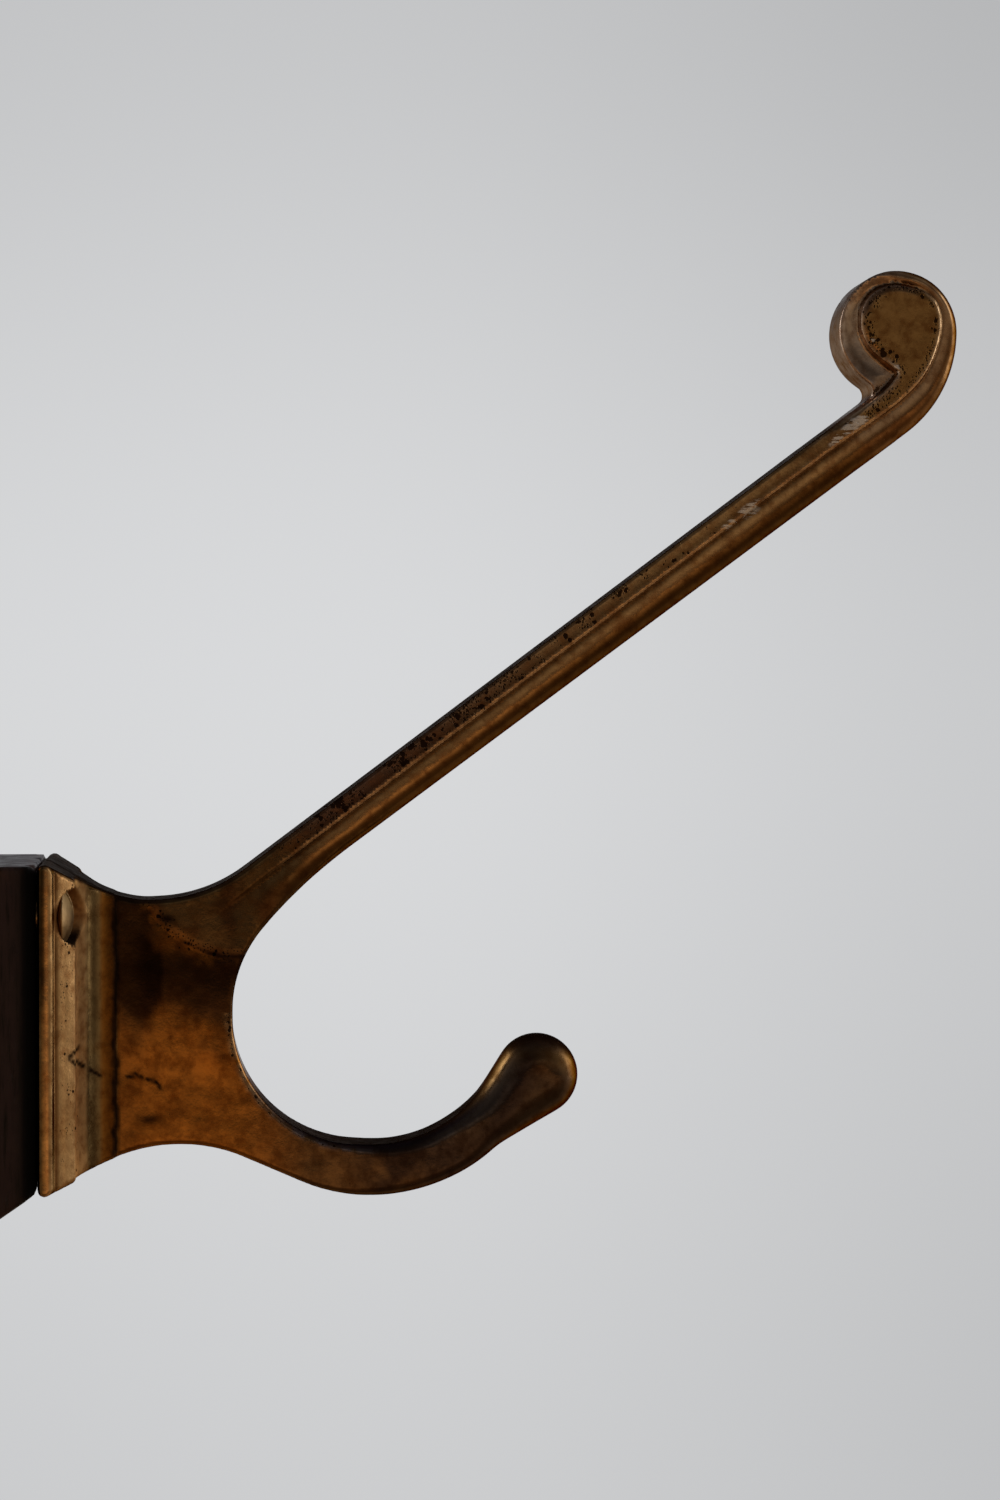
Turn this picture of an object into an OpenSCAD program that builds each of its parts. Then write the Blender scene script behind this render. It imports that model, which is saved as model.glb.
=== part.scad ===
// Hat-and-coat hook: one brass casting on a dark wooden backing block,
// fixed by two long raised countersunk screws that pass through both into the wall.
// Millimetres. Origin on the wall plane, midway between the two screws.
// +X stands out from the wall, +Y is across the hook, +Z is up.

/* [Casting] */
// Thickness of the web, the arms and the scroll, measured across the hook
web_t = 8; // [6:0.5:9]
// Width of the foot where it meets the block
foot_w = 28; // [26:1:34]
// Width of the upper arm at its root, seen from the side
arm_root = 5.6; // [5:0.1:6.2]
// Radius of the scroll at the end of the upper arm
scroll_r = 7.35; // [7:0.05:7.6]
// Depth of the step between the raised band and the lower band
band_step = 0.5; // [0.3:0.1:0.9]

/* [Foot] */
// Thickness of the foot's square edge
foot_edge = 2; // [1.5:0.1:2.4]
// Radius of the cove between the foot and the web
foot_cove = 6.2; // [5.5:0.1:6.4]

/* [Block] */
// Depth of the backing block, from the wall to the foot
block_d = 18; // [14:1:24]
// Height of the block's top above the origin
block_top = 19.2; // [18.6:0.1:20]
// Chamfer along the block's front upright edges
block_chamfer = 1; // [0.5:0.1:1.5]
// How far the block's underside drops towards the wall
block_flare = 9; // [4:1:12]

/* [Screws] */
// Radius of the screw shank
screw_r = 1.75; // [1.5:0.05:1.9]
// Radius of the countersunk head
head_r = 3.4; // [3.1:0.1:3.5]
// Distance of each screw from the hook's middle plane
screw_y = 9.9; // [9.6:0.1:10]
// Distance of each screw above or below the origin
screw_z = 13.2; // [12:0.1:13.3]
// Length of screw that stands out behind the block
screw_out = 22; // [15:1:30]
// Radial clearance of the screw holes
hole_gap = 0.2; // [0.1:0.05:0.4]

/* [Hidden] */
$fn = 48;

// Levels at the foot, measured from its back face
head_x = 3;                          // rim of the screw head
seat_h = head_r - screw_r;           // height of a 90 degree head
thread_r = screw_r - 0.3;            // the thread as a plain cylinder, halfway between crest and root
dome_h = 1.3;                        // how far the domed top of the head rises above its rim
dome_r = (head_r * head_r + dome_h * dome_h) / (2 * dome_h);
slot_w = 1;
slot_d = 0.5;                        // depth of the slot below the rim

// Slope of the upper arm's top line, and a point on it
arm_a = atan(0.749);
arm_p = [30.9, 23.3];
// Slope of its lower line, and the point where that line starts
low_a = atan(0.7385);
low_p = [36.4, 26.1 - arm_root];

// Scroll centre, and the arc that carries the lower line round into it
scroll_c = [103, 82.75];
side_x = scroll_c[0] + scroll_r;
side_k = -sin(low_a) * (side_x - low_p[0]) + cos(low_a) * (scroll_c[1] - low_p[1]);
side_r = side_k / (1 - sin(low_a));
side_c = [side_x - side_r, scroll_c[1]];

// Concave arc over the web that runs tangent into the arm's top line
over_c = [13.3, 32.7];
over_r = -sin(arm_a) * (over_c[0] - arm_p[0]) + cos(arm_a) * (over_c[1] - arm_p[1]);

function arc(c, r, a0, a1, n) =
    [for (i = [0:n]) c + r * [cos(a0 + (a1 - a0) * i / n), sin(a0 + (a1 - a0) * i / n)]];

// Fillet in the notch where the scroll comes back to the arm's top line
notch_r = 1.2;
arm_u = [cos(arm_a), sin(arm_a)];
arm_n = [-sin(arm_a), cos(arm_a)];
notch_h = (scroll_c - arm_p) * arm_n - notch_r;
notch_b = acos(notch_h / (scroll_r + notch_r));
notch_c = scroll_c - (scroll_r + notch_r) * (sin(notch_b) * arm_u + cos(notch_b) * arm_n);
notch_a = arm_a + 90 - notch_b;

// Side outline of the whole casting, X out from the foot's back, Z up
function outline() = concat(
    // foot's lower edge, rounded, then the slope up to the web
    [[0, -18]], arc([0.9, -18], 0.9, 180, 292, 6),
    // arch under the web
    arc([16.2, -34.05], 19.6, 111, 69, 14),
    // outside of the lower hook
    arc([39.65, 1.2], 22.15, 247.7, 312, 20),
    // lower side of the tip, and the round tip
    arc([59.3, -7], 4.95, -60, 148, 22),
    // inside of the lower hook, in two arcs
    arc([39.6, 1.4], 16.3, 322, 270, 12),
    arc([38.1, 0.6], 15.45, 268, 182, 20),
    arc([37.8, 1.3], 15.15, 178, 139, 9),
    // underside of the upper arm
    arc(low_p + 63.4 * [sin(low_a), -cos(low_a)], 63.4, low_a + 101, low_a + 90, 4),
    // round the outside of the scroll
    arc(side_c, side_r, low_a - 90, 0, 12),
    arc(scroll_c, scroll_r, 6, notch_a + 180, 30),
    // small fillet in the notch, then down the arm's top line
    arc(notch_c, notch_r, notch_a - 8, arm_a - 90, 6),
    // over the web to the foot's slope
    arc(over_c, over_r, arm_a - 90, -90, 12),
    arc([13.4, 29.45], 14.9, 268, 236, 8),
    // foot's upper edge
    arc([1, 18.4], 0.9, 50, 180, 6));

// Plan outline of the foot, half of it, with the cove into the web
function foot_half(s) = concat(
    [[0, s * (foot_w / 2 - 0.5)], [0.5, s * foot_w / 2], [foot_edge, s * foot_w / 2],
     [foot_edge + 0.4, s * (foot_w / 2 - 0.5)]],
    [for (p = arc([4.2 + foot_cove, web_t / 2 + foot_cove], foot_cove, 180, 270, 10)) [p[0], s * p[1]]]);

function reversed(l) = [for (i = [len(l) - 1:-1:0]) l[i]];

// A plate lying in the XZ plane, thick along Y and centred on it
module plate(pts, t) {
    rotate([90, 0, 0]) linear_extrude(height = t, center = true) polygon(pts);
}

// Band along the lower side of the upper arm and round the scroll, cut back to
// leave the raised band standing
module lower_band() {
    polygon(concat(
        [low_p + 6 * [cos(low_a), sin(low_a)] + 3.1 * [-sin(low_a), cos(low_a)]],
        arc(side_c, side_r - 3, low_a - 84, 0, 10),
        arc(scroll_c + [-1.3, 0.9], 5.3, 0, 200, 16),
        arc(scroll_c, scroll_r + 2, 200, 0, 16),
        arc(side_c, side_r + 2, 0, low_a - 90, 10),
        [low_p + 4 * [cos(low_a), sin(low_a)] - 2 * [-sin(low_a), cos(low_a)]]));
}

// Straight hole and countersunk seat for one screw, along X
module screw_cut(y, z) {
    translate([0, y, z]) rotate([0, 90, 0]) {
        translate([0, 0, -1]) cylinder(h = head_x + 1, r = screw_r + hole_gap);
        translate([0, 0, head_x - seat_h]) cylinder(h = seat_h, r1 = screw_r, r2 = head_r);
        translate([0, 0, head_x]) cylinder(h = 12, r = head_r);
    }
}

module hook_casting() {
    color([0.42, 0.28, 0.15])
    translate([block_d, 0, 0])
    difference() {
        union() {
            // web, both arms and the scroll
            plate(outline(), web_t);
            // foot: side outline and plan outline together
            intersection() {
                plate(outline(), foot_w + 2);
                translate([0, 0, -25]) linear_extrude(height = 50)
                    polygon(concat(foot_half(1), reversed(foot_half(-1))));
            }
        }
        // lower band stands back from the raised band on both faces
        for (s = [-1, 1])
            translate([0, s * (web_t / 2 - band_step + 1), 0])
                rotate([90, 0, 0]) linear_extrude(height = 2, center = true) lower_band();
        screw_cut(-screw_y, screw_z);
        screw_cut(screw_y, -screw_z);
    }
}

module backing_block() {
    color([0.14, 0.1, 0.09])
    difference() {
        intersection() {
            plate([[0, block_top], [block_d, block_top], [block_d, -18.6], [block_d - 0.8, -19.1],
                   [4, -19.1 - block_flare], [0, -19.1 - block_flare]], foot_w + 2);
            translate([0, 0, -40]) linear_extrude(height = 70)
                polygon([[0, -foot_w / 2], [block_d - block_chamfer, -foot_w / 2],
                         [block_d, block_chamfer - foot_w / 2], [block_d, foot_w / 2 - block_chamfer],
                         [block_d - block_chamfer, foot_w / 2], [0, foot_w / 2]]);
        }
        for (s = [-1, 1])
            translate([-1, s * -screw_y, s * screw_z]) rotate([0, 90, 0])
                cylinder(h = block_d + 2, r = screw_r + hole_gap);
    }
}

// Slotted screw along X with a raised countersunk head towards +X
module wood_screw(y, z, turn) {
    translate([block_d + head_x, y, z]) rotate([0, 90, 0])
    difference() {
        union() {
            translate([0, 0, -seat_h]) cylinder(h = seat_h, r1 = screw_r, r2 = head_r);
            intersection() {
                translate([0, 0, dome_h - dome_r]) sphere(r = dome_r);
                translate([0, 0, -0.2]) cylinder(h = dome_h + 1, r = head_r - 0.2);
            }
            translate([0, 0, -head_x - block_d]) cylinder(h = head_x + block_d - seat_h + 0.01, r = screw_r);
            translate([0, 0, -head_x - block_d - screw_out + 5]) cylinder(h = screw_out - 5 + 0.01, r = thread_r);
            translate([0, 0, -head_x - block_d - screw_out]) cylinder(h = 5, r1 = 0.3, r2 = thread_r);
        }
        rotate([0, 0, turn]) translate([-5, -slot_w / 2, -slot_d]) cube([10, slot_w, 4]);
    }
}

module screw_upper() { color([0.5, 0.36, 0.18]) wood_screw(-screw_y, screw_z, 12); }
module screw_lower() { color([0.5, 0.36, 0.18]) wood_screw(screw_y, -screw_z, -40); }

hook_casting();
backing_block();
screw_upper();
screw_lower();
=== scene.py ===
import bpy
import math
import numpy as np
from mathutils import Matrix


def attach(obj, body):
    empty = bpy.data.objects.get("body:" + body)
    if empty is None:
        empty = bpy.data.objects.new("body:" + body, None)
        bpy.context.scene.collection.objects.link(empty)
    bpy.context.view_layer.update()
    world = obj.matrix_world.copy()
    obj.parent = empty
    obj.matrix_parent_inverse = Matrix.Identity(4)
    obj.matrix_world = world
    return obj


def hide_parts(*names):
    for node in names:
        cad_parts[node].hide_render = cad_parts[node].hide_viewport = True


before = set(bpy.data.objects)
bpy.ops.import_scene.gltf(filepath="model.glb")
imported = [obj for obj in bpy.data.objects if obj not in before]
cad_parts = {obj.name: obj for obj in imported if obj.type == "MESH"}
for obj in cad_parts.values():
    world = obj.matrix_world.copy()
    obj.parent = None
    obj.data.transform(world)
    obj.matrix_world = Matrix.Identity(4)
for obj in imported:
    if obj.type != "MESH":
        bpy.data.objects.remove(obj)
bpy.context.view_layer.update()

MM = 0.001
BLOCK_D = 18.0          # block depth: hook X 0 is at row X 18 mm


# ---------------------------------------------------------------- outline
def arc(c, r, a0, a1, step=0.45):
    n = max(2, int(math.ceil(abs(math.radians(a1 - a0)) * r / step)), int(abs(a1 - a0) / 4) + 1)
    a = np.radians(np.linspace(a0, a1, n + 1))
    return np.c_[c[0] + r * np.cos(a), c[1] + r * np.sin(a)]


arm_a = math.degrees(math.atan(0.749))
arm_p = np.array([30.9, 23.3])
low_a = math.degrees(math.atan(0.7385))
low_p = np.array([36.4, 20.5])
ca, sa = math.cos(math.radians(arm_a)), math.sin(math.radians(arm_a))
cl, sl = math.cos(math.radians(low_a)), math.sin(math.radians(low_a))
scroll_r = 7.35
scroll_c = np.array([103.0, 82.75])
side_x = scroll_c[0] + scroll_r
side_k = -sl * (side_x - low_p[0]) + cl * (scroll_c[1] - low_p[1])
side_r = side_k / (1 - sl)
side_c = np.array([side_x - side_r, scroll_c[1]])
over_c = np.array([13.3, 32.7])
over_r = -sa * (over_c[0] - arm_p[0]) + ca * (over_c[1] - arm_p[1])
arm_u, arm_n = np.array([ca, sa]), np.array([-sa, ca])
notch_r = 1.2
notch_h = float((scroll_c - arm_p) @ arm_n) - notch_r
notch_b = math.degrees(math.acos(notch_h / (scroll_r + notch_r)))
sb, cb = math.sin(math.radians(notch_b)), math.cos(math.radians(notch_b))
notch_c = scroll_c - (scroll_r + notch_r) * (sb * arm_u + cb * arm_n)
notch_a = arm_a + 90 - notch_b


def outline():
    pts = np.vstack([
        [[0, -18.0]], arc([0.9, -18], 0.9, 180, 292, 0.15),
        arc([16.2, -34.05], 19.6, 111, 69),
        arc([39.65, 1.2], 22.15, 247.7, 312),
        arc([59.3, -7], 4.95, -60, 148, 0.3),
        arc([39.6, 1.4], 16.3, 322, 270),
        arc([38.1, 0.6], 15.45, 268, 182),
        arc([37.8, 1.3], 15.15, 178, 139),
        arc(low_p + 63.4 * np.array([sl, -cl]), 63.4, low_a + 101, low_a + 90),
        arc(side_c, side_r, low_a - 90, 0),
        arc(scroll_c, scroll_r, 2, notch_a + 180, 0.3),
        arc(notch_c, notch_r, notch_a - 8, arm_a - 90, 0.15),
        arc(over_c, over_r, arm_a - 90, -90),
        arc([13.4, 29.45], 14.9, 268, 236),
        arc([1, 18.4], 0.9, 50, 180, 0.15)])
    # the long straights get points of their own, then one light smoothing pass takes out the joints' kinks
    out = []
    for a, b in zip(pts, np.roll(pts, -1, 0)):
        n = max(1, int(np.hypot(*(b - a)) / 0.6))
        out += [a + (b - a) * i / n for i in range(n)]
    p = np.array(out)
    q = p.copy()
    for _ in range(3):
        q = 0.5 * q + 0.25 * (np.roll(q, 1, 0) + np.roll(q, -1, 0))
    keep = p[:, 0] < 1.6
    q[keep] = p[keep]
    return q


def poly_dist(px, pz, poly):
    """Signed distance to a closed polygon, negative inside."""
    shape = np.shape(px)
    px, pz = np.ravel(px).astype(np.float32), np.ravel(pz).astype(np.float32)
    A = poly.astype(np.float32)
    B = np.roll(A, -1, 0)
    E = B - A
    L = np.maximum((E ** 2).sum(1), 1e-9)
    out = np.empty(px.size, np.float32)
    n = max(256, int(2.5e6 / len(A)))
    slope = np.where(np.abs(E[:, 1]) > 1e-9, E[:, 0] / np.where(np.abs(E[:, 1]) > 1e-9, E[:, 1], 1), 0)
    for s in range(0, px.size, n):
        x, z = px[s:s + n, None], pz[s:s + n, None]
        wx, wz = x - A[:, 0], z - A[:, 1]
        t = np.clip((wx * E[:, 0] + wz * E[:, 1]) / L, 0, 1)
        d2 = ((wx - t * E[:, 0]) ** 2 + (wz - t * E[:, 1]) ** 2).min(1)
        cross = ((A[:, 1] > z) != (B[:, 1] > z)) & (x < A[:, 0] + wz * slope)
        inside = (cross.sum(1) & 1).astype(bool)
        out[s:s + n] = np.where(inside, -1, 1) * np.sqrt(d2)
    return out.reshape(shape)


def smooth(x, a, b):
    t = np.clip((x - a) / (b - a), 0, 1)
    return t * t * (3 - 2 * t)


def chaikin(p, times=2):
    p = np.array(p, float)
    for _ in range(times):
        q = np.empty((2 * len(p) - 2, 2))
        q[0::2] = 0.75 * p[:-1] + 0.25 * p[1:]
        q[1::2] = 0.25 * p[:-1] + 0.75 * p[1:]
        p = np.vstack([p[:1], q, p[-1:]])
    return p


# ---------------------------------------------------------------- 2D fields of the casting
STEP2 = 0.2
GX0, GZ0 = -2.0, -23.0
NX2, NZ2 = int(114 / STEP2), int(116 / STEP2)
gx = GX0 + STEP2 * np.arange(NX2)
gz = GZ0 + STEP2 * np.arange(NZ2)
GX, GZ = np.meshgrid(gx, gz, indexing="ij")

OUT = outline()
D2 = poly_dist(GX, GZ, OUT)

# the raised band: along the arm's upper side, then round into the disc at the scroll's eye
flat_low = chaikin([[14, 7.9], [30.65, 20.44], [44.92, 31.2], [61.69, 43.8], [78.57, 56.43], [90.1, 65.1],
                    [96.2, 69.6], [101.2, 72.9], [104.6, 75.7], [106.5, 78.3], [107.6, 81.3], [108.0, 83.8],
                    [107.5, 86.0], [106.0, 87.6], [103.9, 88.4], [101.9, 88.5], [100.1, 87.9], [98.7, 86.6],
                    [98.0, 84.9], [98.0, 82.9], [98.7, 81.1], [99.9, 79.7], [101.4, 78.75], [102.8, 77.75]], 2)
flat_up = chaikin([[102.8, 77.75], [102.1, 76.6], [101.0, 75.4], [99.4, 74.2], [95.4, 71.4], [91.5, 68.6],
                   [88, 66.7], [84, 65.2]], 2)
FLAT = np.vstack([flat_low, flat_up[1:], [[70, 56], [30, 27], [10, 22], [5, 12]]])
DF = poly_dist(GX, GZ, FLAT)

eye = np.array([102.9, 83.2])
TH = np.degrees(np.arctan2(GZ - eye[1], GX - eye[0])) % 360      # 0 right, 90 top, 180 left
S = (GX - arm_p[0]) * ca + (GZ - arm_p[1]) * sa                  # along the arm
N = -(GX - arm_p[0]) * sa + (GZ - arm_p[1]) * ca                 # across it
on_arm = smooth(N, -14, -11)
W_arm = smooth(S, -8, 4) * on_arm
W_step = smooth(S, -15, -3) * on_arm
W_scroll = smooth(S, 78, 84) * on_arm
TH2 = (TH + 90) % 360 - 90                                       # -90 below, 0 right, 90 top, 180 left
above = smooth(N, -2.2, -0.6)
W_left = W_scroll * smooth(TH2, 70, 125) * above
W_roll = W_scroll * smooth(TH2, 25, 85) * (1 - smooth(TH2, 236, 250)) * above
PHI = np.degrees(np.arctan2(GZ - 1.2, GX - 38.5))
W_j = smooth(GX, 30, 40) * (1 - on_arm)

u = np.clip(DF, 0, None) / (np.clip(DF, 0, None) + np.clip(-D2, 0.02, None))
crown = 3.5 + 0.16 * np.sin(np.pi * np.clip(u * 1.25, 0, 1)) - 0.55 * np.clip((u - 0.45) / 0.55, 0, 1) ** 2
band = (1 - W_left) * crown + W_left * (2.75 + 0.75 * u ** 1.7)
edge_t = smooth(DF, -0.1, 0.34)
roll = np.clip(1 + DF / 1.1, 0, 1)
disc = 4.0 - W_roll * 1.0 * (1 - np.sqrt(np.clip(1 - roll ** 2, 0, 1)))
H_arm = disc * (1 - edge_t) + band * edge_t
root = np.hypot(GX - 23.4, GZ - 20.0) - 12.0                     # the casting crease at the arm's root
web_low = smooth(root, -0.05, 0.5) * (1 - W_arm)
H_base = 4.0 - 0.13 * web_low - 0.05 * np.exp(-((root + 0.1) / 0.35) ** 2) * (1 - W_arm) * smooth(GX, 11, 13)
H2 = H_base * (1 - W_step) + H_arm * W_step
# the lower hook is a little thinner at its middle and full at the bulb
H2 = H2 - 0.25 * W_j * np.exp(-((PHI + 62) / 24) ** 2)
# edge rounding
r_band = 1.15 - 0.25 * W_scroll * smooth(TH2, 0, 80) - 0.6 * W_left
r_top = 0.45 + 0.5 * np.exp(-((S - 88) / 5) ** 2)
r_arm = r_top + (np.clip(r_band, 0.4, None) - r_top) * smooth(DF, 0.0, 0.8)
r_j = 0.6 + 1.0 * smooth(PHI, -112, -62) + 2.0 * smooth(PHI, -60, -25)
r_base = 0.62 + (r_j - 0.62) * W_j
R2 = r_base * (1 - W_arm) + r_arm * W_arm


def sample(F, x, z):
    """Catmull-Rom interpolation of a 2D field."""
    fx, fz = (x - GX0) / STEP2, (z - GZ0) / STEP2
    ix = np.clip(np.floor(fx).astype(int), 1, NX2 - 3)
    iz = np.clip(np.floor(fz).astype(int), 1, NZ2 - 3)
    tx, tz = np.clip(fx - ix, 0, 1), np.clip(fz - iz, 0, 1)

    def w(t):
        return (-0.5 * t + t ** 2 - 0.5 * t ** 3, 1 - 2.5 * t ** 2 + 1.5 * t ** 3,
                0.5 * t + 2 * t ** 2 - 1.5 * t ** 3, -0.5 * t ** 2 + 0.5 * t ** 3)
    wx, wz = w(tx), w(tz)
    out = 0
    for i in range(4):
        row = 0
        for j in range(4):
            row = row + wz[j] * F[ix + i - 1, iz + j - 1]
        out = out + wx[i] * row
    return out


# plan outline of the foot (X, half width)
cove_c, cove_r = np.array([10.4, 10.2]), 6.2
cut_x = 8.95
end_a = 180 + math.degrees(math.acos((cove_c[0] - cut_x) / cove_r))
plan = np.vstack([[[-0.0, -1.0], [0, 12.9]], arc([1.05, 12.95], 1.05, 178, 32, 0.12), [[2.18, 13.08], [2.42, 13.0], [2.62, 12.85]],
                  [[3.6, 12.0], [4.45, 11.2], [4.5, 10.9], [4.38, 8.9]], arc(cove_c, cove_r, 194, end_a, 0.3), [[cut_x, -1.0]]])
P_STEP = 0.1
pgx, pgy = np.arange(-3, 13, P_STEP), np.arange(-3, 17, P_STEP)
PD = poly_dist(*np.meshgrid(pgx, pgy, indexing="ij"), plan)


def plan_dist(x, ay):
    fx, fy = np.clip((x + 3) / P_STEP, 0, len(pgx) - 1.001), np.clip((ay + 3) / P_STEP, 0, len(pgy) - 1.001)
    ix, iy = fx.astype(int), fy.astype(int)
    tx, ty = fx - ix, fy - iy
    d = (PD[ix, iy] * (1 - tx) * (1 - ty) + PD[ix + 1, iy] * tx * (1 - ty)
         + PD[ix, iy + 1] * (1 - tx) * ty + PD[ix + 1, iy + 1] * tx * ty)
    return d + np.clip(x - 12.9, 0, None)


def rounded_and(a, b, r):
    qa, qb = a + r, b + r
    return np.minimum(np.maximum(qa, qb), 0) + np.sqrt(np.maximum(qa, 0) ** 2 + np.maximum(qb, 0) ** 2) - r


def smin(a, b, k):
    h = np.clip(0.5 + 0.5 * (b - a) / k, 0, 1)
    return b + (a - b) * h - k * h * (1 - h)


SCREWS = [(-9.9, 13.2, 12.0), (9.9, -13.2, -40.0)]
HEAD_X, HEAD_R, SCREW_R = 3.0, 3.4, 1.75
DOME_H = 1.3                     # how far the screw head's domed top rises above its rim
DOME_R = (HEAD_R ** 2 + DOME_H ** 2) / (2 * DOME_H)


def f_hook(x, y, z, fields=None):
    d2, hh, rr = fields if fields is not None else (sample(D2, x, z), sample(H2, x, z), sample(R2, x, z))
    ay = np.abs(y)
    plate = rounded_and(d2, ay - hh, rr)
    pd = plan_dist(np.broadcast_to(x, np.broadcast_shapes(np.shape(x), np.shape(ay))),
                   np.broadcast_to(ay, np.broadcast_shapes(np.shape(x), np.shape(ay))))
    foot = rounded_and(d2, pd, 0.5)
    f = smin(plate, foot, 0.3)
    for sy, sz, _ in SCREWS:
        rho = np.sqrt((y - sy) ** 2 + (z - sz) ** 2)
        cut = np.minimum(rho - SCREW_R - 0.2, np.maximum((rho - x + HEAD_X - HEAD_R) * 0.7071, rho - HEAD_R))
        f = -smin(-f, cut, 0.3)
    return f


# ---------------------------------------------------------------- surface nets
def mesh_sdf(f, lo, hi, h, dense=None, project=3, eps=0.12):
    nx, ny, nz = [int(math.ceil((b - a) / h)) + 1 for a, b in zip(lo, hi)]
    xs, ys, zs = lo[0] + h * np.arange(nx), lo[1] + h * np.arange(ny), lo[2] + h * np.arange(nz)
    V = (dense or (lambda a, b, c: f(a[:, None, None], b[None, :, None], c[None, None, :])))(xs, ys, zs)
    V = np.ascontiguousarray(V, np.float32)
    V[np.abs(V) < 1e-6] = 1e-6
    neg = V < 0
    cnt = np.zeros((nx - 1, ny - 1, nz - 1), np.uint8)
    corners = [(i, j, k) for i in (0, 1) for j in (0, 1) for k in (0, 1)]
    for i, j, k in corners:
        cnt += neg[i:nx - 1 + i, j:ny - 1 + j, k:nz - 1 + k]
    act = (cnt > 0) & (cnt < 8)
    I = np.argwhere(act)
    idx = -np.ones(act.shape, np.int64)
    idx[act] = np.arange(len(I))
    acc = np.zeros((len(I), 3))
    num = np.zeros(len(I))
    for a in corners:
        for ax in range(3):
            if a[ax]:
                continue
            b = list(a)
            b[ax] = 1
            va = V[I[:, 0] + a[0], I[:, 1] + a[1], I[:, 2] + a[2]]
            vb = V[I[:, 0] + b[0], I[:, 1] + b[1], I[:, 2] + b[2]]
            m = (va < 0) != (vb < 0)
            t = np.where(m, va / np.where(m, va - vb, 1), 0)
            p = np.tile(np.array(a, float), (len(I), 1))
            p[:, ax] += t
            acc[m] += p[m]
            num[m] += 1
    P = np.array(lo) + h * (I + acc / num[:, None])
    quads = []
    for ax in range(3):
        o1, o2 = (ax + 1) % 3, (ax + 2) % 3
        sl_a, sl_b = [slice(None)] * 3, [slice(None)] * 3
        sl_a[ax], sl_b[ax] = slice(0, -1), slice(1, None)
        na, nb = neg[tuple(sl_a)], neg[tuple(sl_b)]
        E = np.argwhere(na != nb)
        ok = (E[:, o1] > 0) & (E[:, o2] > 0) & (E[:, o1] < act.shape[o1]) & (E[:, o2] < act.shape[o2])
        E = E[ok]
        flip = ~na[E[:, 0], E[:, 1], E[:, 2]]
        q = []
        for d1, d2 in ((1, 1), (0, 1), (0, 0), (1, 0)):
            c = E.copy()
            c[:, o1] -= d1
            c[:, o2] -= d2
            q.append(idx[c[:, 0], c[:, 1], c[:, 2]])
        q = np.stack(q, 1)
        q[flip] = q[flip][:, ::-1]
        quads.append(q)
    Q = np.vstack(quads)

    def grad(P, e):
        g = np.empty_like(P)
        for ax in range(3):
            d = np.zeros(3)
            d[ax] = e
            a, b = P + d, P - d
            g[:, ax] = (f(a[:, 0], a[:, 1], a[:, 2]) - f(b[:, 0], b[:, 1], b[:, 2])) / (2 * e)
        return g

    P0 = P.copy()
    for _ in range(project):
        v = f(P[:, 0], P[:, 1], P[:, 2])
        g = grad(P, eps * 0.5)
        g2 = np.maximum((g ** 2).sum(1), 0.15)
        P = P - np.clip(v / g2, -0.3 * h, 0.3 * h)[:, None] * g
        off = P - P0
        L = np.linalg.norm(off, axis=1)
        P = P0 + off * np.minimum(1, 0.7 * h / np.maximum(L, 1e-9))[:, None]
    G = grad(P, eps)
    G /= np.maximum(np.linalg.norm(G, axis=1), 1e-9)[:, None]
    # outward winding
    a, b, c = P[Q[:, 0]], P[Q[:, 1]], P[Q[:, 2]]
    nrm = np.cross(b - a, c - a)
    if (nrm * G[Q[:, 0]]).sum() < 0:
        Q = Q[:, ::-1]
    return P, Q, G


def to_object(name, P, Q, G, offset):
    """P in mm in local hook coordinates; offset to the row frame in mm."""
    me = bpy.data.meshes.new(name)
    co = ((P + np.array(offset)) * MM).astype(np.float32)
    me.vertices.add(len(co))
    me.vertices.foreach_set("co", co.ravel())
    me.loops.add(Q.size)
    me.loops.foreach_set("vertex_index", Q.ravel().astype(np.int32))
    me.polygons.add(len(Q))
    me.polygons.foreach_set("loop_start", (4 * np.arange(len(Q))).astype(np.int32))
    me.polygons.foreach_set("loop_total", np.full(len(Q), 4, np.int32))
    me.polygons.foreach_set("use_smooth", np.ones(len(Q), bool))
    me.update(calc_edges=True)
    me.validate()
    if len(me.polygons) == len(Q):
        me.normals_split_custom_set_from_vertices([tuple(v) for v in G])
    ob = bpy.data.objects.new(name, me)
    bpy.context.scene.collection.objects.link(ob)
    return ob


def attribute(ob, name, rgb):
    at = ob.data.attributes.new(name, "FLOAT_COLOR", "POINT")
    a = np.ones((len(rgb), 4), np.float32)
    a[:, :3] = rgb
    at.data.foreach_set("color", a.ravel())


LAT = np.random.RandomState(7).rand(32, 32, 32)


def vnoise(P, scale, octaves=3):
    out, amp, tot = 0, 1.0, 0
    for o in range(octaves):
        q = P * scale * 2 ** o + 5.3 * o
        i = np.floor(q).astype(int)
        t = q - i
        t = t * t * (3 - 2 * t)
        v = 0
        for dx in (0, 1):
            for dy in (0, 1):
                for dz in (0, 1):
                    w = (t[:, 0] if dx else 1 - t[:, 0]) * (t[:, 1] if dy else 1 - t[:, 1]) * (t[:, 2] if dz else 1 - t[:, 2])
                    v = v + w * LAT[(i[:, 0] + dx) % 32, (i[:, 1] + dy) % 32, (i[:, 2] + dz) % 32]
        out = out + amp * v
        tot += amp
        amp *= 0.5
    return out / tot


# ---------------------------------------------------------------- the casting
HH = 0.345


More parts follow.
